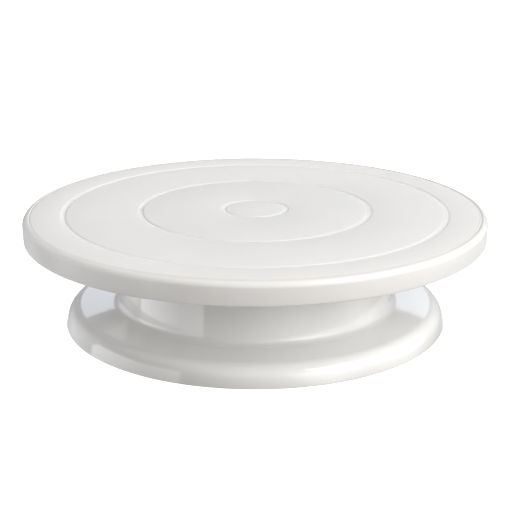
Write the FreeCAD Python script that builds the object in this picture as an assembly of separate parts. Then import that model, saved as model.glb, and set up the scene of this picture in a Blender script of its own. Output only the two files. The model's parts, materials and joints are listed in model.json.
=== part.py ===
"""Cake turntable: a round plastic plate that spins on a ball race over a hollow plastic base.

Millimetres, +Z up. The origin is on the floor, on the axis that the plate spins about.
A steel pin pressed into the plate turns in two bushes in the base's hub tube and keeps the plate
centred. The balls carry the weight. A screw and washers below the hub stop the plate lifting off.
"""
import FreeCAD, Part
import math
import os

UP = FreeCAD.Vector(0, 0, 1)
CENTRE = FreeCAD.Vector(0, 0, 0)
OVERLAP = 0.6                      # how far a rib or boss runs into the wall that it grows from

# Whole object
PLATE_R = 140.0
TOP_Z = 69.5
FOOT_STAND_OFF = 1.0               # gap between the base's lower edge and the floor

# Plate
PLATE_SKIN = 2.8
RIM_DEPTH = 13.3
RIM_WALL = 2.5
RIM_DRAFT = 0.2
RIM_ROUNDING = 3.5
RING_GROOVE_RADII = (19.0, 69.5, 115.7)
RING_GROOVE_WIDTH = 3.8
RING_GROOVE_DEPTH = 0.55
LIP_GROOVE_R = 136.0
LIP_GROOVE_WIDTH = 1.8
LIP_GROOVE_DEPTH = 0.35
PLATE_RIB_COUNT = 12
PLATE_RIB_THICKNESS = 1.8
PLATE_RIB_DEPTH = 6.5
PLATE_RING_RIB_RADII = (36.0, 84.0)
PLATE_BOSS_R = 12.0
SEAT_WALL = 2.5                    # two ring walls that the upper race lies on
SEAT_MARGIN = 0.5                  # by which they stand out past the race

# Base
BASE_R = 117.0
BASE_WALL = 2.5
LEDGE_Z = 13.0
SHOULDER_R = 113.9                 # where the foot wall and the ledge would meet without rounding
SHOULDER_ROUNDING = 9.0
NECK_FOOT_R = 83.9
NECK_FOOT_ROUNDING = 4.5
NECK_TOP_R = 81.5
DECK_Z = 56.5
DECK_THICKNESS = 3.0
BASE_RIB_COUNT = 6
BASE_RIB_THICKNESS = 2.0
BASE_RIB_DEPTH = 12.0
HUB_R = 11.0
HUB_BOTTOM_Z = 25.0

# Ball race
BALL_COUNT = 12
BALL_R = 2.5
BALL_PATH_R = 60.0
BALL_Z = 58.8
GROOVE_CLEARANCE = 0.05
RACE_HALF_WIDTH = 6.0
RACE_THICKNESS = 1.4
RACE_GAP = 3.8                     # between the two races' flat faces
EAR_COUNT = 4
EAR_R = 4.0
EAR_OFFSET = 10.0                  # from the ball path to an ear's screw
CAGE_HALF_WIDTH = 4.5
CAGE_THICKNESS = 2.0
POCKET_R = 2.65

# Race screws
SCREW_R = 1.5
SCREW_LENGTH = 8.0
SCREW_HEAD_R = 2.8
SCREW_HEAD_HEIGHT = 1.3
SCREW_BOSS_R = 4.0

# Spindle and what keeps it in
SPINDLE_R = 5.0
SPINDLE_PRESS_R = 6.0
SPINDLE_BOTTOM_Z = 22.3
SPINDLE_SHOULDER_Z = 58.5
SPINDLE_TOP_Z = 65.5
TAPPED_DEPTH = 13.7
BUSH_CLEARANCE = 0.05
BUSH_R = 8.0
BUSH_LENGTH = 12.5
BUSH_FLANGE_R = 10.5
BUSH_FLANGE_THICKNESS = 1.5
THRUST_WASHER = (5.2, 9.5, 1.0)    # inner radius, outer radius, thickness
THRUST_WASHER_PLAY = 0.1
CLAMP_WASHER = (2.6, 9.0, 1.2)
M5_R = 2.5
M5_HEAD_R = 4.7
M5_HEAD_HEIGHT = 3.0
M5_LENGTH = 12.0
CAP_R = 12.6
CAP_BOTTOM_Z = 15.0
CAP_TOP_Z = 30.0
CAP_FLOOR = 1.5

# Feet
FOOT_COUNT = 6
FOOT_PATH_R = 100.0
FOOT_R = 7.5
FOOT_THICKNESS = 3.0
FOOT_STEM_R = 2.6
FOOT_STEM_LENGTH = 5.5
FOOT_BOSS_R = 5.5

UNDERSIDE_Z = TOP_Z - PLATE_SKIN
RIM_BOTTOM_Z = TOP_Z - RIM_DEPTH
DECK_UNDERSIDE_Z = DECK_Z - DECK_THICKNESS
LEDGE_UNDERSIDE_Z = LEDGE_Z - BASE_WALL
LOWER_RACE_TOP_Z = BALL_Z - RACE_GAP / 2
LOWER_RACE_SEAT_Z = LOWER_RACE_TOP_Z - RACE_THICKNESS
UPPER_RACE_BOTTOM_Z = BALL_Z + RACE_GAP / 2
UPPER_RACE_SEAT_Z = UPPER_RACE_BOTTOM_Z + RACE_THICKNESS
LOWER_EAR_PATH_R = BALL_PATH_R - EAR_OFFSET
UPPER_EAR_PATH_R = BALL_PATH_R + EAR_OFFSET


def rounding(before, corner, after, radius):
    """Start, middle and end of the arc that rounds off a corner."""
    to_before = (before - corner).normalize()
    to_after = (after - corner).normalize()
    half_angle = to_before.getAngle(to_after) / 2
    reach = radius / math.tan(half_angle)
    to_middle = (to_before + to_after).normalize() * (radius / math.sin(half_angle) - radius)
    return corner + to_before * reach, corner + to_middle, corner + to_after * reach


def lathe(*corners):
    """Solid of revolution about Z. Each corner is (r, z) or (r, z, radius of its rounding)."""
    points = [FreeCAD.Vector(corner[0], 0, corner[1]) for corner in corners]
    stretches = []
    for i, corner in enumerate(corners):
        if len(corner) == 3:
            stretches.append(rounding(points[i - 1], points[i], points[(i + 1) % len(points)], corner[2]))
        else:
            stretches.append((points[i],))
    edges = []
    for i, stretch in enumerate(stretches):
        if len(stretch) == 3:
            edges.append(Part.Arc(*stretch).toShape())
        following = stretches[(i + 1) % len(stretches)]
        if stretch[-1].distanceToPoint(following[0]) > 1e-6:
            edges.append(Part.makeLine(stretch[-1], following[0]))
    return Part.Face(Part.Wire(edges)).revolve(CENTRE, UP, 360)


def ring(inner_r, outer_r, bottom_z, top_z):
    return lathe((inner_r, bottom_z), (outer_r, bottom_z), (outer_r, top_z), (inner_r, top_z))


def disc(r, bottom_z, top_z, x=0.0):
    return Part.makeCylinder(r, top_z - bottom_z, FreeCAD.Vector(x, 0, bottom_z), UP)


def cone(bottom_r, top_r, bottom_z, top_z, x=0.0):
    return Part.makeCone(bottom_r, top_r, top_z - bottom_z, FreeCAD.Vector(x, 0, bottom_z), UP)


def block(x_start, x_end, width, bottom_z, top_z):
    """A box that lies along +X, with its width shared equally about the X axis."""
    corner = FreeCAD.Vector(x_start, -width / 2, bottom_z)
    return Part.makeBox(x_end - x_start, width, top_z - bottom_z, corner)


def turned(shape, degrees):
    copy = shape.copy()
    copy.rotate(CENTRE, UP, degrees)
    return copy


def around(shape, count, first=0.0):
    """Equally spaced copies of a shape about the Z axis."""
    return [turned(shape, first + 360.0 * i / count) for i in range(count)]


def groove_cutter(path_r, width, depth):
    """A torus that cuts a groove with a round floor into the plate's top."""
    section_r = (width * width / 4 + depth * depth) / (2 * depth)
    return Part.makeTorus(path_r, section_r, FreeCAD.Vector(0, 0, TOP_Z + section_r - depth), UP)


def cross_recess(x, face_z, inward, length, width, depth):
    """Cutter for a cross-head drive. Inward is +1 where the head faces down, and -1 where it faces up."""
    bottom_z = min(face_z, face_z + inward * depth)
    slot = block(x - length / 2, x + length / 2, width, bottom_z, bottom_z + depth)
    crossing = slot.copy()
    crossing.rotate(FreeCAD.Vector(x, 0, 0), UP, 90)
    return slot.fuse(crossing)


def turntable_plate():
    """One moulding: skin, skirted rim, hub boss, bearing seat, screw bosses and ribs."""
    rim_inner_r = PLATE_R - RIM_DRAFT - RIM_WALL
    plate = lathe((0, TOP_Z), (PLATE_R, TOP_Z, RIM_ROUNDING), (PLATE_R - RIM_DRAFT, RIM_BOTTOM_Z, 1.1),
                  (rim_inner_r, RIM_BOTTOM_Z, 0.9), (rim_inner_r - RIM_DRAFT, UNDERSIDE_Z, 2.0),
                  (0, UNDERSIDE_Z))
    rib_bottom_z = UNDERSIDE_Z - PLATE_RIB_DEPTH
    seat_inner_r = BALL_PATH_R - RACE_HALF_WIDTH - SEAT_MARGIN
    seat_outer_r = BALL_PATH_R + RACE_HALF_WIDTH + SEAT_MARGIN
    inside = UNDERSIDE_Z + OVERLAP
    added = [disc(PLATE_BOSS_R, SPINDLE_SHOULDER_Z, inside)]
    added += [ring(r - PLATE_RIB_THICKNESS / 2, r + PLATE_RIB_THICKNESS / 2, rib_bottom_z, inside)
              for r in PLATE_RING_RIB_RADII]
    added += [ring(seat_inner_r, seat_inner_r + SEAT_WALL, UPPER_RACE_SEAT_Z, inside),
              ring(seat_outer_r - SEAT_WALL, seat_outer_r, UPPER_RACE_SEAT_Z, inside)]
    inner_rib = block(PLATE_BOSS_R - 1, seat_inner_r, PLATE_RIB_THICKNESS, rib_bottom_z, inside)
    seat_rib = block(seat_inner_r, seat_outer_r, PLATE_RIB_THICKNESS, UPPER_RACE_SEAT_Z, inside)
    outer_rib = block(seat_outer_r, rim_inner_r, PLATE_RIB_THICKNESS, rib_bottom_z, inside)
    for piece in (inner_rib, seat_rib, outer_rib):
        added += around(piece, PLATE_RIB_COUNT, 180.0 / PLATE_RIB_COUNT)
    added += around(disc(SCREW_BOSS_R, UPPER_RACE_SEAT_Z, inside, UPPER_EAR_PATH_R), EAR_COUNT)
    plate = plate.multiFuse(added)
    pilot_top_z = UPPER_RACE_BOTTOM_Z + SCREW_LENGTH
    cutters = [disc(SPINDLE_PRESS_R, SPINDLE_SHOULDER_Z - 1, SPINDLE_TOP_Z)]
    cutters += around(disc(SCREW_R, UPPER_RACE_SEAT_Z - 1, pilot_top_z, UPPER_EAR_PATH_R), EAR_COUNT)
    cutters += [groove_cutter(r, RING_GROOVE_WIDTH, RING_GROOVE_DEPTH) for r in RING_GROOVE_RADII]
    cutters.append(groove_cutter(LIP_GROOVE_R, LIP_GROOVE_WIDTH, LIP_GROOVE_DEPTH))
    return plate.cut(cutters)


def base_shell():
    """One moulding, open below: foot wall, shoulder, ledge, neck, deck, hub tube, ribs and bosses."""
    wall_slope = (BASE_R - SHOULDER_R) / (LEDGE_Z - FOOT_STAND_OFF)
    outside = [(BASE_R, FOOT_STAND_OFF, 0.5), (SHOULDER_R, LEDGE_Z, SHOULDER_ROUNDING),
               (NECK_FOOT_R, LEDGE_Z, NECK_FOOT_ROUNDING), (NECK_TOP_R, DECK_Z, 2.0)]
    hub_bore_r = BUSH_R
    inner_shoulder_r = SHOULDER_R - BASE_WALL + wall_slope * BASE_WALL
    inner_edge_r = inner_shoulder_r + wall_slope * (LEDGE_UNDERSIDE_Z - FOOT_STAND_OFF)
    deck = [(hub_bore_r, DECK_Z), (hub_bore_r, HUB_BOTTOM_Z, 0.4), (HUB_R, HUB_BOTTOM_Z, 0.4),
            (HUB_R, DECK_UNDERSIDE_Z, 1.0)]
    inside = [(NECK_TOP_R - BASE_WALL, DECK_UNDERSIDE_Z, 1.0),
              (NECK_FOOT_R - BASE_WALL, LEDGE_UNDERSIDE_Z, 3.0),
              (inner_shoulder_r, LEDGE_UNDERSIDE_Z, SHOULDER_ROUNDING - BASE_WALL),
              (inner_edge_r, FOOT_STAND_OFF, 0.5)]
    shell = lathe(*outside, *deck, *inside)
    rib = block(HUB_R - OVERLAP, NECK_TOP_R - BASE_WALL / 2, BASE_RIB_THICKNESS,
                DECK_UNDERSIDE_Z - BASE_RIB_DEPTH, DECK_UNDERSIDE_Z + OVERLAP)
    added = around(rib, BASE_RIB_COUNT)
    screw_boss_bottom_z = LOWER_RACE_TOP_Z - SCREW_LENGTH - 2
    screw_boss = disc(SCREW_BOSS_R, screw_boss_bottom_z, DECK_UNDERSIDE_Z + OVERLAP, LOWER_EAR_PATH_R)
    added += around(screw_boss, EAR_COUNT, 45.0)
    foot_boss = disc(FOOT_BOSS_R, FOOT_THICKNESS, LEDGE_UNDERSIDE_Z + OVERLAP, FOOT_PATH_R)
    added += around(foot_boss, FOOT_COUNT)
    shell = shell.multiFuse(added)
    race_recess = ring(LOWER_EAR_PATH_R - EAR_R - 1, BALL_PATH_R + RACE_HALF_WIDTH + 0.2,
                       LOWER_RACE_SEAT_Z, DECK_Z + 1)
    screw_hole = disc(SCREW_R, LOWER_RACE_TOP_Z - SCREW_LENGTH, DECK_Z, LOWER_EAR_PATH_R)
    stem_top_z = FOOT_THICKNESS + FOOT_STEM_LENGTH
    foot_hole = disc(FOOT_STEM_R, FOOT_THICKNESS - 1, stem_top_z + 0.5, FOOT_PATH_R)
    cutters = [race_recess] + around(screw_hole, EAR_COUNT, 45.0) + around(foot_hole, FOOT_COUNT)
    return shell.cut(cutters)


def race(bottom_z, ear_path_r, first_ear, head_face_z, head_inward):
    """Pressed steel ring with a ball groove, and ears with countersunk screw holes."""
    top_z = bottom_z + RACE_THICKNESS
    body = ring(BALL_PATH_R - RACE_HALF_WIDTH, BALL_PATH_R + RACE_HALF_WIDTH, bottom_z, top_z)
    tongue = block(min(ear_path_r, BALL_PATH_R), max(ear_path_r, BALL_PATH_R), 2 * EAR_R, bottom_z, top_z)
    ear = disc(EAR_R, bottom_z, top_z, ear_path_r).fuse(tongue)
    body = body.multiFuse(around(ear, EAR_COUNT, first_ear))
    clearance = 0.05
    hole = disc(SCREW_R + clearance, bottom_z - 1, top_z + 1, ear_path_r)
    countersink = screw_head(head_face_z, head_inward, ear_path_r, clearance)
    groove_r = BALL_R + GROOVE_CLEARANCE
    ball_groove = Part.makeTorus(BALL_PATH_R, groove_r, FreeCAD.Vector(0, 0, BALL_Z), UP)
    cutters = [ball_groove] + around(hole, EAR_COUNT, first_ear) + around(countersink, EAR_COUNT, first_ear)
    return body.cut(cutters)


def screw_head(face_z, inward, x, clearance=0.0):
    """Countersunk head, widest at face_z and narrowing inward, up (+1) or down (-1)."""
    wide_r = SCREW_HEAD_R + clearance
    narrow_r = SCREW_R + clearance
    if inward > 0:
        return cone(wide_r, narrow_r, face_z, face_z + SCREW_HEAD_HEIGHT, x)
    return cone(narrow_r, wide_r, face_z - SCREW_HEAD_HEIGHT, face_z, x)


def race_screws(face_z, inward, path_r, first):
    """Self-tapping countersunk screws, one in each ear, as separate solids."""
    tip_z = face_z + inward * SCREW_LENGTH
    point_z = tip_z - inward * 1.5
    shank = disc(SCREW_R, min(face_z, point_z), max(face_z, point_z), path_r)
    if inward > 0:
        point = cone(SCREW_R, 0.4, point_z, tip_z, path_r)
    else:
        point = cone(0.4, SCREW_R, tip_z, point_z, path_r)
    screw = shank.multiFuse([screw_head(face_z, inward, path_r), point])
    screw = screw.cut(cross_recess(path_r, face_z, inward, 3.2, 0.7, 1.0)).removeSplitter()
    return Part.makeCompound(around(screw, EAR_COUNT, first))


def lower_race():
    return race(LOWER_RACE_SEAT_Z, LOWER_EAR_PATH_R, 45.0, LOWER_RACE_TOP_Z, -1)


def upper_race():
    return race(UPPER_RACE_BOTTOM_Z, UPPER_EAR_PATH_R, 0.0, UPPER_RACE_BOTTOM_Z, 1)


def lower_race_screws():
    return race_screws(LOWER_RACE_TOP_Z, -1, LOWER_EAR_PATH_R, 45.0)


def upper_race_screws():
    return race_screws(UPPER_RACE_BOTTOM_Z, 1, UPPER_EAR_PATH_R, 0.0)


def ball_cage():
    """Flat plastic ring with a round pocket for each ball."""
    bottom_z = BALL_Z - CAGE_THICKNESS / 2
    top_z = BALL_Z + CAGE_THICKNESS / 2
    inner_r = BALL_PATH_R - CAGE_HALF_WIDTH
    outer_r = BALL_PATH_R + CAGE_HALF_WIDTH
    cage = lathe((inner_r, bottom_z, 0.3), (outer_r, bottom_z, 0.3), (outer_r, top_z, 0.3),
                 (inner_r, top_z, 0.3))
    pocket = disc(POCKET_R, bottom_z - 1, top_z + 1, BALL_PATH_R)
    return cage.cut(around(pocket, BALL_COUNT))


def ball(index):
    sphere = Part.makeSphere(BALL_R, FreeCAD.Vector(BALL_PATH_R, 0, BALL_Z))
    return turned(sphere, 360.0 * index / BALL_COUNT)


def spindle():
    """Turned pin: a thicker press-fit top, a plain journal, and a tapped hole in its lower end."""
    hole_top_z = SPINDLE_BOTTOM_Z + TAPPED_DEPTH
    return lathe((0, SPINDLE_TOP_Z), (SPINDLE_PRESS_R, SPINDLE_TOP_Z, 0.5),
                 (SPINDLE_PRESS_R, SPINDLE_SHOULDER_Z), (SPINDLE_R, SPINDLE_SHOULDER_Z),
                 (SPINDLE_R, SPINDLE_BOTTOM_Z, 0.3), (M5_R, SPINDLE_BOTTOM_Z), (M5_R, hole_top_z),
                 (0, hole_top_z + 1.4))


def bush(face_z, away):
    """Flanged plain bush. Its flange starts at face_z and stands away from the hub, up or down."""
    bore_r = SPINDLE_R + BUSH_CLEARANCE
    flange_z = face_z + away * BUSH_FLANGE_THICKNESS
    sleeve_z = face_z - away * BUSH_LENGTH
    return lathe((bore_r, flange_z), (BUSH_FLANGE_R, flange_z, 0.3), (BUSH_FLANGE_R, face_z),
                 (BUSH_R, face_z), (BUSH_R, sleeve_z, 0.4), (bore_r, sleeve_z))


def washer(size, top_z):
    inner_r, outer_r, thickness = size
    return lathe((inner_r, top_z), (outer_r, top_z, 0.2), (outer_r, top_z - thickness, 0.2),
                 (inner_r, top_z - thickness))


def thrust_washer():
    bush_face_z = HUB_BOTTOM_Z - BUSH_FLANGE_THICKNESS
    return washer(THRUST_WASHER, bush_face_z - THRUST_WASHER_PLAY)


def clamp_washer():
    return washer(CLAMP_WASHER, SPINDLE_BOTTOM_Z)


def spindle_screw():
    """M5 pan-head screw, driven up into the spindle from below."""
    seat_z = SPINDLE_BOTTOM_Z - CLAMP_WASHER[2]
    head_z = seat_z - M5_HEAD_HEIGHT
    screw = lathe((0, head_z), (M5_HEAD_R, head_z, 1.4), (M5_HEAD_R, seat_z), (M5_R, seat_z),
                  (M5_R, seat_z + M5_LENGTH, 0.5), (0, seat_z + M5_LENGTH))
    return screw.cut(cross_recess(0.0, head_z, 1, 5.0, 1.1, 1.8))


def hub_cap():
    """Round cap that pushes over the lower end of the hub tube."""
    return lathe((0, CAP_BOTTOM_Z), (CAP_R, CAP_BOTTOM_Z, 1.4), (CAP_R, CAP_TOP_Z, 0.5),
                 (HUB_R, CAP_TOP_Z), (HUB_R, CAP_BOTTOM_Z + CAP_FLOOR, 0.8), (0, CAP_BOTTOM_Z + CAP_FLOOR))


def foot(index):
    """Rubber disc with a stem that pushes into a boss of the base."""
    stem_top_z = FOOT_THICKNESS + FOOT_STEM_LENGTH
    rubber = lathe((0, 0), (FOOT_R, 0, 0.8), (FOOT_R, FOOT_THICKNESS, 0.4), (FOOT_STEM_R, FOOT_THICKNESS),
                   (FOOT_STEM_R, stem_top_z, 0.6), (0, stem_top_z))
    rubber.translate(FreeCAD.Vector(FOOT_PATH_R, 0, 0))
    return turned(rubber, 360.0 * index / FOOT_COUNT)


def all_pieces():
    pieces = {
        "base_shell": base_shell(),
        "hub_bush_upper": bush(DECK_Z, 1),
        "hub_bush_lower": bush(HUB_BOTTOM_Z, -1),
        "hub_cap": hub_cap(),
        "lower_race": lower_race(),
        "lower_race_screws": lower_race_screws(),
        "ball_cage": ball_cage(),
        "upper_race": upper_race(),
        "upper_race_screws": upper_race_screws(),
        "turntable_plate": turntable_plate(),
        "spindle": spindle(),
        "thrust_washer": thrust_washer(),
        "clamp_washer": clamp_washer(),
        "spindle_screw": spindle_screw(),
    }
    for index in range(FOOT_COUNT):
        pieces["foot_%d" % (index + 1)] = foot(index)
    for index in range(BALL_COUNT):
        pieces["ball_%02d" % (index + 1)] = ball(index)
    return pieces


os.makedirs("parts", exist_ok=True)
for name, shape in all_pieces().items():
    shape.exportStep("parts/%s.step" % name)
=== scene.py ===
"""Looks of a cake turntable: fine meshes for its two mouldings, a finish for every piece, and the stage.

Profiles are in millimetres, with r outwards from the spin axis and z up from the floor.
"""
import json
import math
from typing import NamedTuple

import bmesh
import bpy
from mathutils import Matrix, Vector

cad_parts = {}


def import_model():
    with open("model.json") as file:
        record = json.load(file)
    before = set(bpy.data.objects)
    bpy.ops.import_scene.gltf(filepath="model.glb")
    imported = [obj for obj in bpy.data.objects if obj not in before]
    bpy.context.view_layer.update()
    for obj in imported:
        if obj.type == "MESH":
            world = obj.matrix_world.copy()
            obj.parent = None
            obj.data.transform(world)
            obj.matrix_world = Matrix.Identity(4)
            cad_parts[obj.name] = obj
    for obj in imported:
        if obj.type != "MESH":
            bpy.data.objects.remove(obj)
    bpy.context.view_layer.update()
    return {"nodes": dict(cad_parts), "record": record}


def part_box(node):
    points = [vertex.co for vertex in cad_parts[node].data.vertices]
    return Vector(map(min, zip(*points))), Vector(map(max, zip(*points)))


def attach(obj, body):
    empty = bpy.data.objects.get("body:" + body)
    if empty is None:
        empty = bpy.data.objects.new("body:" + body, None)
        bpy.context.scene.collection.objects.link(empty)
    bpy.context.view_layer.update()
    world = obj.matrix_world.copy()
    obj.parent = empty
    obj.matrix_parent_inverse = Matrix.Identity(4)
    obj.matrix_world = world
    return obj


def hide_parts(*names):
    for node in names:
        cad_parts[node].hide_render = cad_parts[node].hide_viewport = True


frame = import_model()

MM = 0.001
STEPS = 288                        # flats round a moulding
ARC_STEP = math.radians(9)         # most that the outline turns between two points of a rounding


# ---------------------------------------------------------------- sizes, from the frame

def box_mm(node):
    low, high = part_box(node)
    return low / MM, high / MM


PLATE_LOW, PLATE_HIGH = box_mm("turntable_plate")
BASE_LOW, BASE_HIGH = box_mm("base_shell")
LOWER_RACE_LOW, LOWER_RACE_HIGH = box_mm("lower_race")
UPPER_RACE_HIGH = box_mm("upper_race")[1]
BUSH_LOW = box_mm("hub_bush_lower")[0]
SPINDLE_HIGH = box_mm("spindle")[1]
FOOT_LOW, FOOT_HIGH = box_mm("foot_1")
BALL_LOW, BALL_HIGH = box_mm("ball_01")

PLATE_R = PLATE_HIGH.x
TOP_Z = PLATE_HIGH.z
RIM_BOTTOM_Z = PLATE_LOW.z
BASE_R = BASE_HIGH.x
DECK_Z = BASE_HIGH.z
FOOT_EDGE_Z = BASE_LOW.z
BALL_PATH_R = (BALL_LOW.x + BALL_HIGH.x) / 2
FOOT_PATH_R = (FOOT_LOW.x + FOOT_HIGH.x) / 2
SPINDLE_R = SPINDLE_HIGH.x
RACE_HALF_WIDTH = 6.0
EAR_OFFSET = 10.0                  # from the ball path to the screws of a race
SCREWS = 4                         # in each race
SCREW_BOSS_R = 4.0
PILOT_HOLE_R = 1.5
OVERLAP = 0.6                      # how far a rib or boss reaches into the wall that it stands on


# ---------------------------------------------------------------- mesh building

def rounded(before, corner, after, radius):
    """Points of the arc that rounds off a corner of a profile."""
    to_before = (before - corner).normalized()
    to_after = (after - corner).normalized()
    half_angle = to_before.angle(to_after) / 2
    centre = corner + (to_before + to_after).normalized() * radius / math.sin(half_angle)
    start = corner + to_before * radius / math.tan(half_angle) - centre
    end = corner + to_after * radius / math.tan(half_angle) - centre
    turn = start.angle_signed(end)
    count = max(2, math.ceil(abs(turn) / ARC_STEP))
    return [centre + Matrix.Rotation(-turn * i / count, 2) @ start for i in range(count + 1)]


def profile(*corners):
    """Closed outline. Each corner is (r, z) or (r, z, radius of its rounding)."""
    points = [Vector(corner[:2]) for corner in corners]
    outline = []
    for i, corner in enumerate(corners):
        if len(corner) == 3:
            outline += rounded(points[i - 1], points[i], points[(i + 1) % len(points)], corner[2])
        else:
            outline.append(points[i])
    return outline


def groove(path_r, width, depth, face_z, wall_share=0.35, points=6):
    """Outline of a flat-bottomed groove with soft edges in a flat face, from its inner to its outer edge."""
    wall = width * wall_share
    start_r = path_r - width / 2
    end_r = path_r + width / 2
    steps = [i / points for i in range(points + 1)]
    drop = [face_z - depth * (1 - math.cos(math.pi * step)) / 2 for step in steps]
    inner_wall = [(start_r + wall * step, z) for step, z in zip(steps, drop)]
    outer_wall = [(end_r - wall * step, z) for step, z in zip(steps, drop)]
    return inner_wall + outer_wall[::-1]


def mesh_object(name, bm):
    bmesh.ops.recalc_face_normals(bm, faces=bm.faces)
    mesh = bpy.data.meshes.new(name)
    bm.to_mesh(mesh)
    bm.free()
    obj = bpy.data.objects.new(name, mesh)
    bpy.context.scene.collection.objects.link(obj)
    return obj


def lathe(name, outline, steps=STEPS, centre=(0.0, 0.0)):
    """A closed outline turned about an upright axis through centre."""
    bm = bmesh.new()
    columns = []
    for r, z in outline:
        if r < 1e-6:
            columns.append([bm.verts.new((centre[0] * MM, centre[1] * MM, z * MM))] * steps)
            continue
        columns.append([bm.verts.new(((centre[0] + r * math.cos(2 * math.pi * i / steps)) * MM,
                                      (centre[1] + r * math.sin(2 * math.pi * i / steps)) * MM, z * MM))
                        for i in range(steps)])
    for a, b in zip(columns, columns[1:] + columns[:1]):
        for i in range(steps):
            j = (i + 1) % steps
            corners = list(dict.fromkeys((a[i], a[j], b[j], b[i])))
            if len(corners) > 2:
                bm.faces.new(corners)
    return mesh_object(name, bm)


def tapered_bar(name, x_start, x_end, root_width, tip_width, root_z, tip_z, degrees):
    """A rib: it lies along a radius, and narrows from its root to its tip."""
    bm = bmesh.new()
    turn = Matrix.Rotation(math.radians(degrees), 3, "Z")
    ends = [[bm.verts.new(turn @ Vector((x, side * width / 2, z)) * MM)
             for side, width, z in ((-1, root_width, root_z), (1, root_width, root_z),
                                    (1, tip_width, tip_z), (-1, tip_width, tip_z))]
            for x in (x_start, x_end)]
    bm.faces.new(ends[0])
    bm.faces.new(ends[1])
    for i in range(4):
        j = (i + 1) % 4
        bm.faces.new((ends[0][i], ends[0][j], ends[1][j], ends[1][i]))
    return mesh_object(name, bm)


def post(name, outline, path_r, degrees, steps=40):
    """A small turned shape that stands on a circle about the axis."""
    angle = math.radians(degrees)
    return lathe(name, outline, steps, (path_r * math.cos(angle), path_r * math.sin(angle)))


def combined(body, tools, operation):
    """The body with the tools added or cut out, as one closed mesh. The tools are used up."""
    group = bpy.data.collections.new("tools")
    for tool in tools:
        bpy.context.scene.collection.objects.unlink(tool)
        group.objects.link(tool)
    modifier = body.modifiers.new("combine", "BOOLEAN")
    modifier.operation = operation
    modifier.solver = "EXACT"
    modifier.operand_type = "COLLECTION"
    modifier.collection = group
    bpy.context.view_layer.update()
    result = bpy.data.meshes.new_from_object(body.evaluated_get(bpy.context.evaluated_depsgraph_get()))
    body.modifiers.clear()
    body.data = result
    for tool in tools:
        bpy.data.objects.remove(tool)
    bpy.data.collections.remove(group)
    return body


def shade(obj, sharp_degrees=32):
    for polygon in obj.data.polygons:
        polygon.use_smooth = True
    obj.data.set_sharp_from_angle(angle=math.radians(sharp_degrees))


# ---------------------------------------------------------------- the plate

RING_GROOVE_RADII = (19.0, 69.5, 115.7)
RING_GROOVE_WIDTH = 4.2
RING_GROOVE_DEPTH = 0.55
LIP_GROOVE_R = 136.0
LIP_GROOVE_WIDTH = 2.2
LIP_GROOVE_DEPTH = 0.35
PLATE_SKIN = 2.8
RIM_WALL = 2.5
RIM_DRAFT = 0.2
RIM_ROUNDING = 3.5
PLATE_RIBS = 12
PLATE_RING_RIB_RADII = (36.0, 84.0)
RIB_DEPTH = 6.5
RIB_ROOT = 1.8
RIB_TIP = 1.4
PLATE_BOSS_R = 12.0
PLATE_BOSS_DEPTH = 7.0             # below the top of the spindle
PILOT_HOLE_DEPTH = 6.6


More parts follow.
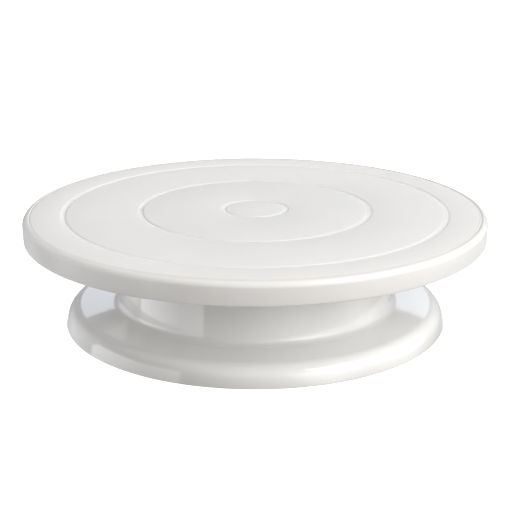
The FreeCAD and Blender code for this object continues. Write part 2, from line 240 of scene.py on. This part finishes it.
def plate_moulding():
    underside_z = TOP_Z - PLATE_SKIN
    rim_inner_r = PLATE_R - RIM_DRAFT - RIM_WALL
    rib_tip_z = underside_z - RIB_DEPTH
    inside_z = underside_z + OVERLAP
    seat_z = UPPER_RACE_HIGH.z
    seat_inner_r = BALL_PATH_R - RACE_HALF_WIDTH - 0.5
    seat_outer_r = BALL_PATH_R + RACE_HALF_WIDTH + 0.5
    top = [(0, TOP_Z)]
    for path_r in RING_GROOVE_RADII:
        top += groove(path_r, RING_GROOVE_WIDTH, RING_GROOVE_DEPTH, TOP_Z)
    top += groove(LIP_GROOVE_R, LIP_GROOVE_WIDTH, LIP_GROOVE_DEPTH, TOP_Z, 0.5, 4)[:-1]
    rim_edge = LIP_GROOVE_R + LIP_GROOVE_WIDTH / 2
    rim = profile((rim_edge - 2, TOP_Z), (PLATE_R + RIM_DRAFT / 4, TOP_Z, RIM_ROUNDING),
                  (PLATE_R - RIM_DRAFT, RIM_BOTTOM_Z, 1.1), (rim_inner_r, RIM_BOTTOM_Z, 0.9),
                  (rim_inner_r - RIM_DRAFT, underside_z, 2.0), (0, underside_z))
    plate = lathe("plate_moulding", top + [tuple(p) for p in rim[1:]])
    boss_bottom_z = SPINDLE_HIGH.z - PLATE_BOSS_DEPTH
    added = [lathe("boss", profile((0, boss_bottom_z), (PLATE_BOSS_R, boss_bottom_z, 0.6),
                                   (PLATE_BOSS_R + 0.4, inside_z), (0, inside_z)), 96)]
    for path_r in PLATE_RING_RIB_RADII:
        added.append(lathe("ring_rib", profile((path_r - RIB_TIP / 2, rib_tip_z, 0.3),
                                               (path_r + RIB_TIP / 2, rib_tip_z, 0.3),
                                               (path_r + RIB_ROOT / 2, inside_z),
                                               (path_r - RIB_ROOT / 2, inside_z)), 144))
    for inner_r, outer_r in ((seat_inner_r, seat_inner_r + 2.5), (seat_outer_r - 2.5, seat_outer_r)):
        added.append(lathe("seat", profile((inner_r, seat_z, 0.3), (outer_r, seat_z, 0.3),
                                           (outer_r, inside_z), (inner_r, inside_z)), 144))
    for i in range(PLATE_RIBS):
        degrees = 360 * (i + 0.5) / PLATE_RIBS
        added.append(tapered_bar("rib", 11.0, seat_inner_r + 0.7, RIB_ROOT, RIB_TIP, inside_z, rib_tip_z,
                                 degrees))
        added.append(tapered_bar("rib", seat_inner_r + 1, seat_outer_r - 1, RIB_ROOT, RIB_TIP, inside_z,
                                 seat_z, degrees))
        added.append(tapered_bar("rib", seat_outer_r - 0.7, rim_inner_r + 0.5, RIB_ROOT, RIB_TIP, inside_z,
                                 rib_tip_z, degrees))
    screw_path_r = BALL_PATH_R + EAR_OFFSET
    for i in range(SCREWS):
        added.append(post("screw_boss", profile((0, seat_z), (SCREW_BOSS_R, seat_z, 0.3),
                                                (SCREW_BOSS_R + 0.2, inside_z), (0, inside_z)),
                          screw_path_r, 360 * i / SCREWS))
    combined(plate, added, "UNION")
    press_bottom_z = boss_bottom_z - 1
    cut = [lathe("press_hole", profile((0, press_bottom_z), (SPINDLE_R, press_bottom_z),
                                       (SPINDLE_R, SPINDLE_HIGH.z), (0, SPINDLE_HIGH.z)), 96)]
    pilot_top_z = seat_z + PILOT_HOLE_DEPTH
    for i in range(SCREWS):
        cut.append(post("pilot_hole", profile((0, seat_z - 1), (PILOT_HOLE_R, seat_z - 1),
                                              (PILOT_HOLE_R, pilot_top_z), (0, pilot_top_z)),
                        screw_path_r, 360 * i / SCREWS, 24))
    combined(plate, cut, "DIFFERENCE")
    shade(plate)
    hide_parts("turntable_plate")
    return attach(plate, "plate")


# ---------------------------------------------------------------- the base

WALL = 2.5
LEDGE_Z = 13.0
SHOULDER_R = 113.9
SHOULDER_ROUNDING = 9.0
NECK_FOOT_R = 83.9
NECK_FOOT_ROUNDING = 4.5
NECK_TOP_R = 81.5
HUB_R = 11.0
HUB_BORE_R = 8.0
DECK_THICKNESS = 3.0
BASE_RIBS = 6
BASE_RIB_DEPTH = 12.0
BASE_RIB_ROOT = 2.0
BASE_RIB_TIP = 1.5
BASE_SCREW_BOSS_DEPTH = 10.0       # below the top of the lower race
FEET = 6
FOOT_SEAT_Z = 3.0
FOOT_BOSS_R = 5.5
FOOT_HOLE_R = 2.6
FOOT_HOLE_TOP_Z = 9.0


def base_moulding():
    recess_z = LOWER_RACE_LOW.z
    deck_underside_z = DECK_Z - DECK_THICKNESS
    ledge_underside_z = LEDGE_Z - WALL
    hub_bottom_z = BUSH_LOW.z + 1.5
    wall_slope = (BASE_R - SHOULDER_R) / (LEDGE_Z - FOOT_EDGE_Z)
    inner_shoulder_r = SHOULDER_R - WALL + wall_slope * WALL
    inner_edge_r = inner_shoulder_r + wall_slope * (ledge_underside_z - FOOT_EDGE_Z)
    recess_inner_r = BALL_PATH_R - EAR_OFFSET - 5
    recess_outer_r = BALL_PATH_R + RACE_HALF_WIDTH + 0.2
    outline = profile(
        (BASE_R, FOOT_EDGE_Z, 0.5), (SHOULDER_R, LEDGE_Z, SHOULDER_ROUNDING),
        (NECK_FOOT_R, LEDGE_Z, NECK_FOOT_ROUNDING), (NECK_TOP_R, DECK_Z, 2.0),
        (recess_outer_r, DECK_Z, 0.2), (recess_outer_r, recess_z), (recess_inner_r, recess_z),
        (recess_inner_r, DECK_Z, 0.2), (HUB_BORE_R, DECK_Z), (HUB_BORE_R, hub_bottom_z, 0.4),
        (HUB_R, hub_bottom_z, 0.4), (HUB_R, deck_underside_z, 1.0),
        (NECK_TOP_R - WALL, deck_underside_z, 1.0), (NECK_FOOT_R - WALL, ledge_underside_z, 3.0),
        (inner_shoulder_r, ledge_underside_z, SHOULDER_ROUNDING - WALL), (inner_edge_r, FOOT_EDGE_Z, 0.5))
    base = lathe("base_moulding", outline)
    rib_root_z = deck_underside_z + OVERLAP
    boss_root_z = ledge_underside_z + OVERLAP
    added = []
    for i in range(BASE_RIBS):
        added.append(tapered_bar("rib", HUB_R - OVERLAP, NECK_TOP_R - WALL / 2, BASE_RIB_ROOT, BASE_RIB_TIP,
                                 rib_root_z, deck_underside_z - BASE_RIB_DEPTH, 360 * i / BASE_RIBS))
    screw_path_r = BALL_PATH_R - EAR_OFFSET
    screw_angles = [45 + 360 * i / SCREWS for i in range(SCREWS)]
    boss_bottom_z = LOWER_RACE_HIGH.z - BASE_SCREW_BOSS_DEPTH
    for angle in screw_angles:
        added.append(post("screw_boss", profile((0, boss_bottom_z), (SCREW_BOSS_R, boss_bottom_z, 0.4),
                                                (SCREW_BOSS_R + 0.3, rib_root_z), (0, rib_root_z)),
                          screw_path_r, angle))
    foot_angles = [360 * i / FEET for i in range(FEET)]
    for angle in foot_angles:
        added.append(post("foot_boss", profile((0, FOOT_SEAT_Z), (FOOT_BOSS_R, FOOT_SEAT_Z, 0.3),
                                               (FOOT_BOSS_R + 0.2, boss_root_z), (0, boss_root_z)),
                          FOOT_PATH_R, angle))
    combined(base, added, "UNION")
    cut = []
    for angle in screw_angles:
        cut.append(post("pilot_hole", profile((0, boss_bottom_z + 2), (PILOT_HOLE_R, boss_bottom_z + 2),
                                              (PILOT_HOLE_R, DECK_Z), (0, DECK_Z)),
                        screw_path_r, angle, 24))
    for angle in foot_angles:
        cut.append(post("foot_hole", profile((0, FOOT_SEAT_Z - 1), (FOOT_HOLE_R, FOOT_SEAT_Z - 1),
                                             (FOOT_HOLE_R, FOOT_HOLE_TOP_Z), (0, FOOT_HOLE_TOP_Z)),
                        FOOT_PATH_R, angle, 32))
    combined(base, cut, "DIFFERENCE")
    shade(base)
    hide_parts("base_shell")
    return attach(base, "base")


# ---------------------------------------------------------------- materials

class Nodes:
    """A material under construction, with short names for its nodes."""

    def __init__(self, name):
        self.material = bpy.data.materials.new(name)
        self.material.use_nodes = True
        self.tree = self.material.node_tree
        self.shader = self.tree.nodes["Principled BSDF"]
        self.place = self.add("ShaderNodeTexCoord").outputs["Object"]

    def add(self, kind, settings=None, **inputs):
        node = self.tree.nodes.new(kind)
        for key, value in (settings or {}).items():
            setattr(node, key, value)
        for key, value in inputs.items():
            self.give(node, key.replace("_", " "), value)
        return node

    def give(self, node, key, value):
        socket = node.inputs[key]
        if isinstance(value, bpy.types.NodeSocket):
            self.tree.links.new(value, socket)
        else:
            socket.default_value = value

    def noise(self, scale, detail=3.0, roughness=0.5, place=None):
        node = self.add("ShaderNodeTexNoise", Scale=scale, Detail=detail, Roughness=roughness,
                        Vector=place or self.place)
        return node.outputs["Fac"]

    def math(self, operation, first, second=0.0):
        node = self.add("ShaderNodeMath", {"operation": operation})
        self.give(node, 0, first)
        self.give(node, 1, second)
        return node.outputs[0]

    def mapped(self, value, low, high, to_low=0.0, to_high=1.0):
        node = self.add("ShaderNodeMapRange", {"clamp": True})
        for key, number in (("Value", value), ("From Min", low), ("From Max", high),
                            ("To Min", to_low), ("To Max", to_high)):
            self.give(node, key, number)
        return node.outputs[0]

    def blended(self, share, first, second):
        node = self.add("ShaderNodeMix", {"data_type": "RGBA"})
        self.give(node, 0, share)
        self.give(node, 6, first)
        self.give(node, 7, second)
        return node.outputs[2]

    def bump(self, height, strength, distance, below=None):
        node = self.add("ShaderNodeBump", Height=height, Strength=strength, Distance=distance)
        if below is not None:
            self.give(node, "Normal", below)
        return node.outputs["Normal"]

    def from_axis(self):
        """Distance from the spin axis, in metres."""
        parts = self.add("ShaderNodeSeparateXYZ", Vector=self.place)
        square_x = self.math("MULTIPLY", parts.outputs["X"], parts.outputs["X"])
        square_y = self.math("MULTIPLY", parts.outputs["Y"], parts.outputs["Y"])
        return self.math("SQRT", self.math("ADD", square_x, square_y))

    def shader_values(self, **values):
        for key, value in values.items():
            self.give(self.shader, key.replace("_", " "), value)


def tone(r, g, b):
    return (r, g, b, 1.0)


def plate_plastic():
    """White polypropylene: a fine spark-eroded texture on top, smoother in the grooves and on the rim."""
    n = Nodes("plate_plastic")
    from_axis = n.from_axis()
    height = n.add("ShaderNodeSeparateXYZ", Vector=n.place).outputs["Z"]
    on_top = n.mapped(height, (TOP_Z - 0.25) * MM, (TOP_Z - 0.02) * MM)
    inside_lip = n.mapped(from_axis, (LIP_GROOVE_R - 1) * MM, (LIP_GROOVE_R - 2) * MM)
    textured = n.math("MULTIPLY", on_top, inside_lip)
    grain = n.noise(2600, 2.0)
    clouds = n.noise(14, 4.0)
    n.give(n.shader, "Base Color", n.blended(n.mapped(clouds, 0.35, 0.65), tone(0.87, 0.855, 0.838),
                                             tone(0.89, 0.875, 0.858)))
    polish = n.mapped(clouds, 0.3, 0.7, 0.17, 0.21)
    matte = n.mapped(grain, 0.3, 0.7, 0.42, 0.52)
    mix = n.add("ShaderNodeMix", {"data_type": "FLOAT"})
    n.give(mix, 0, textured)
    n.give(mix, 2, polish)
    n.give(mix, 3, matte)
    n.give(n.shader, "Roughness", mix.outputs[0])
    grain_height = n.math("MULTIPLY", grain, textured)
    n.give(n.shader, "Normal", n.bump(grain_height, 0.25, 0.00006))
    n.shader_values(IOR=1.49, Subsurface_Weight=0.5, Subsurface_Scale=0.004,
                    Subsurface_Radius=(1.0, 0.95, 0.9))
    return n.material


def base_plastic():
    """White plastic from a polished mould: glossy and very slightly wavy, with painted shade that darkens
    its colour towards the floor.
    """
    n = Nodes("base_plastic")
    height = n.add("ShaderNodeSeparateXYZ", Vector=n.place).outputs["Z"]
    unshaded_plastic_tone = n.blended(n.mapped(n.noise(16, 4.0), 0.35, 0.65), tone(0.95, 0.943, 0.93),
                      tone(0.965, 0.958, 0.946))
    # Painted shade: the colour darkens from the ledge down to the foot's bottom edge, as shade near the
    # floor.
    clear_of_painted_floor_shade = n.mapped(height, FOOT_EDGE_Z * MM, LEDGE_Z * MM)
    n.give(n.shader, "Base Color", n.blended(clear_of_painted_floor_shade, tone(0.75, 0.742, 0.727), unshaded_plastic_tone))
    n.give(n.shader, "Roughness", n.mapped(n.noise(90, 3.0), 0.3, 0.7, 0.06, 0.10))
    waves = n.bump(n.noise(22, 2.0), 0.10, 0.0006)
    n.give(n.shader, "Normal", n.bump(n.noise(1400, 2.0), 0.05, 0.00003, waves))
    n.shader_values(IOR=1.49, Coat_Weight=1.0, Coat_IOR=1.5, Coat_Roughness=0.05)
    return n.material


def acetal():
    """Turned natural acetal: waxy off-white, with faint tool rings."""
    n = Nodes("acetal")
    rings = n.add("ShaderNodeTexWave", {"wave_type": "RINGS", "rings_direction": "Z"}, Scale=900.0,
                  Distortion=1.5, Vector=n.place).outputs["Fac"]
    clouds = n.noise(60, 3.0)
    n.give(n.shader, "Base Color", n.blended(clouds, tone(0.76, 0.74, 0.68), tone(0.82, 0.80, 0.74)))
    n.give(n.shader, "Roughness", n.mapped(clouds, 0.3, 0.7, 0.30, 0.42))
    n.give(n.shader, "Normal", n.bump(rings, 0.10, 0.00004))
    n.shader_values(Subsurface_Weight=0.1, Subsurface_Scale=0.001)
    return n.material


def metal(name, colour, roughness, ring_scale, ring_strength):
    """Machined or pressed metal with fine concentric tool marks and slight staining."""
    n = Nodes(name)
    rings = n.add("ShaderNodeTexWave", {"wave_type": "RINGS", "rings_direction": "Z"}, Scale=ring_scale,
                  Distortion=2.0, Detail=3.0, Vector=n.place).outputs["Fac"]
    stains = n.noise(120, 4.0)
    darker = tone(*(0.86 * c for c in colour))
    n.give(n.shader, "Base Color", n.blended(n.mapped(stains, 0.35, 0.7), darker, tone(*colour)))
    n.give(n.shader, "Roughness", n.mapped(stains, 0.3, 0.7, roughness * 0.8, roughness * 1.25))
    n.give(n.shader, "Normal", n.bump(rings, ring_strength, 0.00003))
    n.shader_values(Metallic=1.0)
    return n.material


def polished_ball():
    n = Nodes("ball_steel")
    film = n.noise(500, 3.0)
    n.give(n.shader, "Base Color", n.blended(film, tone(0.62, 0.62, 0.63), tone(0.70, 0.70, 0.71)))
    n.give(n.shader, "Roughness", n.mapped(film, 0.35, 0.65, 0.05, 0.12))
    n.shader_values(Metallic=1.0)
    return n.material


def foot_rubber():
    n = Nodes("foot_rubber")
    specks = n.noise(1800, 3.0)
    n.give(n.shader, "Base Color", n.blended(specks, tone(0.085, 0.085, 0.085), tone(0.12, 0.12, 0.118)))
    n.give(n.shader, "Roughness", n.mapped(specks, 0.3, 0.7, 0.70, 0.88))
    n.give(n.shader, "Normal", n.bump(specks, 0.3, 0.00008))
    n.shader_values(IOR=1.45)
    return n.material


def paint(obj, material):
    obj.data.materials.clear()
    obj.data.materials.append(material)


def paint_node(node, material):
    """Gives a CAD node its material."""
    for material_slot in frame["nodes"][node].material_slots:
        material_slot.material = material


def finish_every_piece():
    finishes = {
        "plate_plastic": plate_plastic(),
        "base_plastic": base_plastic(),
        "acetal": acetal(),
        "race_steel": metal("race_steel", (0.60, 0.60, 0.61), 0.30, 420, 0.15),
        "plated_steel": metal("plated_steel", (0.66, 0.66, 0.64), 0.25, 700, 0.10),
        "spindle_steel": metal("spindle_steel", (0.56, 0.56, 0.56), 0.22, 1200, 0.20),
        "ball_steel": polished_ball(),
        "foot_rubber": foot_rubber(),
    }
    paint(plate_moulding(), finishes["plate_plastic"])
    paint(base_moulding(), finishes["base_plastic"])
    for subpart in frame["record"]["subparts"]:
        if subpart["node"] not in ("turntable_plate", "base_shell"):
            paint_node(subpart["node"], finishes[subpart["material_slot"]])


# ---------------------------------------------------------------- stage, lights and camera

def floor():
    """A bright floor, clear from below so that the underside can be looked at. It takes no shadow."""
    bm = bmesh.new()
    bmesh.ops.create_grid(bm, x_segments=1, y_segments=1, size=30.0)
    plane = mesh_object("floor", bm)
    n = Nodes("floor")
    n.shader_values(Base_Color=tone(0.9, 0.9, 0.9), Roughness=0.9, Emission_Color=tone(1, 1, 1),
                    Emission_Strength=1.0, Specular_IOR_Level=0.0)
    tree = n.material.node_tree
    output = next(x for x in tree.nodes if x.type == "OUTPUT_MATERIAL")
    surface = output.inputs["Surface"].links[0].from_socket
    one_sided = tree.nodes.new("ShaderNodeMixShader")
    tree.links.new(tree.nodes.new("ShaderNodeNewGeometry").outputs["Backfacing"], one_sided.inputs[0])
    tree.links.new(surface, one_sided.inputs[1])
    tree.links.new(tree.nodes.new("ShaderNodeBsdfTransparent").outputs[0], one_sided.inputs[2])
    tree.links.new(one_sided.outputs[0], output.inputs["Surface"])
    paint(plane, n.material)
    plane.visible_diffuse = False
    plane.visible_glossy = False
    plane.visible_shadow = False


class Patch(NamedTuple):
    """A soft bright part of the studio. Azimuth 0 is +X and 90 is +Y, and half_width is an angle."""
    azimuth: float
    elevation: float
    half_width: float
    radiance: float
    colour: tuple


AMBIENT = (0.10, 0.098, 0.095)
STUDIO_PATCHES = (
    Patch(300, 35, 65, 0.9, (1.0, 0.99, 0.97)),     # front right, broad
    Patch(315, 20, 30, 2.0, (1.0, 0.99, 0.97)),     # front right, narrow and bright
    Patch(0, 10, 35, 1.0, (1.0, 1.0, 1.0)),         # right
    Patch(75, 35, 85, 0.45, (0.93, 0.96, 1.0)),     # behind and above, broad and dim
    Patch(160, -5, 50, 1.15, (0.97, 0.98, 1.0)),    # left
    Patch(90, -60, 60, 1.2, (0.96, 0.98, 1.0)),     # from below, a little behind
)


def towards(azimuth, elevation):
    a, e = math.radians(azimuth), math.radians(elevation)
    return Vector((math.cos(a) * math.cos(e), math.sin(a) * math.cos(e), math.sin(e)))


def world():
    """A pale studio: white where the camera sees it, and uneven as a light."""
    studio = bpy.data.worlds.new("studio")
    bpy.context.scene.world = studio
    studio.use_nodes = True
    tree = studio.node_tree
    tree.nodes.clear()

    def node(kind, **settings):
        made = tree.nodes.new(kind)
        for key, value in settings.items():
            setattr(made, key, value)
        return made

    direction = node("ShaderNodeTexCoord").outputs["Generated"]
    total = node("ShaderNodeCombineXYZ")
    for i in range(3):
        total.inputs[i].default_value = AMBIENT[i]
    light = total.outputs[0]
    for patch in STUDIO_PATCHES:
        facing = node("ShaderNodeVectorMath", operation="DOT_PRODUCT")
        facing.inputs[1].default_value = towards(patch.azimuth, patch.elevation)
        tree.links.new(direction, facing.inputs[0])
        share = node("ShaderNodeMapRange", clamp=True, interpolation_type="SMOOTHSTEP")
        share.inputs["From Min"].default_value = math.cos(math.radians(patch.half_width))
        share.inputs["From Max"].default_value = 1.0
        tree.links.new(facing.outputs["Value"], share.inputs["Value"])
        glow = node("ShaderNodeVectorMath", operation="SCALE")
        glow.inputs[0].default_value = [patch.radiance * c for c in patch.colour]
        tree.links.new(share.outputs[0], glow.inputs["Scale"])
        added = node("ShaderNodeVectorMath", operation="ADD")
        tree.links.new(light, added.inputs[0])
        tree.links.new(glow.outputs[0], added.inputs[1])
        light = added.outputs[0]

    lighting = node("ShaderNodeBackground")
    tree.links.new(light, lighting.inputs["Color"])
    seen = node("ShaderNodeBackground")
    seen.inputs["Color"].default_value = (1.0, 1.0, 1.0, 1.0)
    seen.inputs["Strength"].default_value = 1.05
    choice = node("ShaderNodeMixShader")
    tree.links.new(node("ShaderNodeLightPath").outputs["Is Camera Ray"], choice.inputs[0])
    tree.links.new(lighting.outputs[0], choice.inputs[1])
    tree.links.new(seen.outputs[0], choice.inputs[2])
    tree.links.new(choice.outputs[0], node("ShaderNodeOutputWorld").inputs[0])


def panel(name, azimuth, elevation, distance, width, height, radiance, colour):
    """A soft panel light that faces the plate. Azimuth 0 is +X and 90 is +Y."""
    light = bpy.data.lights.new(name, "AREA")
    light.shape = "RECTANGLE"
    light.size = width
    light.size_y = height
    light.energy = radiance * math.pi * width * height
    light.color = colour
    aim = Vector((0, 0, TOP_Z * MM))
    away = towards(azimuth, elevation)
    obj = bpy.data.objects.new(name, light)
    obj.location = aim + away * distance
    obj.rotation_euler = away.to_track_quat("Z", "Y").to_euler()
    bpy.context.scene.collection.objects.link(obj)
    return obj


def lights():
    """A key softbox, and two cards that are seen only as reflections in the gloss."""
    panel("key", 330, 44, 1.6, 0.8, 0.8, 4.4, (1.0, 0.99, 0.97))
    panel("left_card", 197, -3, 1.2, 1.50, 0.95, 1.2, (0.98, 0.99, 1.0)).visible_diffuse = False
    panel("backdrop", 90, 16, 2.5, 1.3, 0.5, 0.8, (0.80, 0.89, 1.0)).visible_diffuse = False


def camera():
    data = bpy.data.cameras.new("camera")
    data.lens = 85.49
    data.sensor_width = 36.0
    data.clip_end = 100.0
    obj = bpy.data.objects.new("camera", data)
    obj.location = (0.0005, -0.7151, TOP_Z * MM + 0.1957)
    obj.rotation_euler = (math.radians(90 - 17.54), 0, 0)
    bpy.context.scene.collection.objects.link(obj)
    bpy.context.scene.camera = obj


camera()
finish_every_piece()
floor()
world()
lights()
bpy.context.scene.view_settings.view_transform = "Standard"
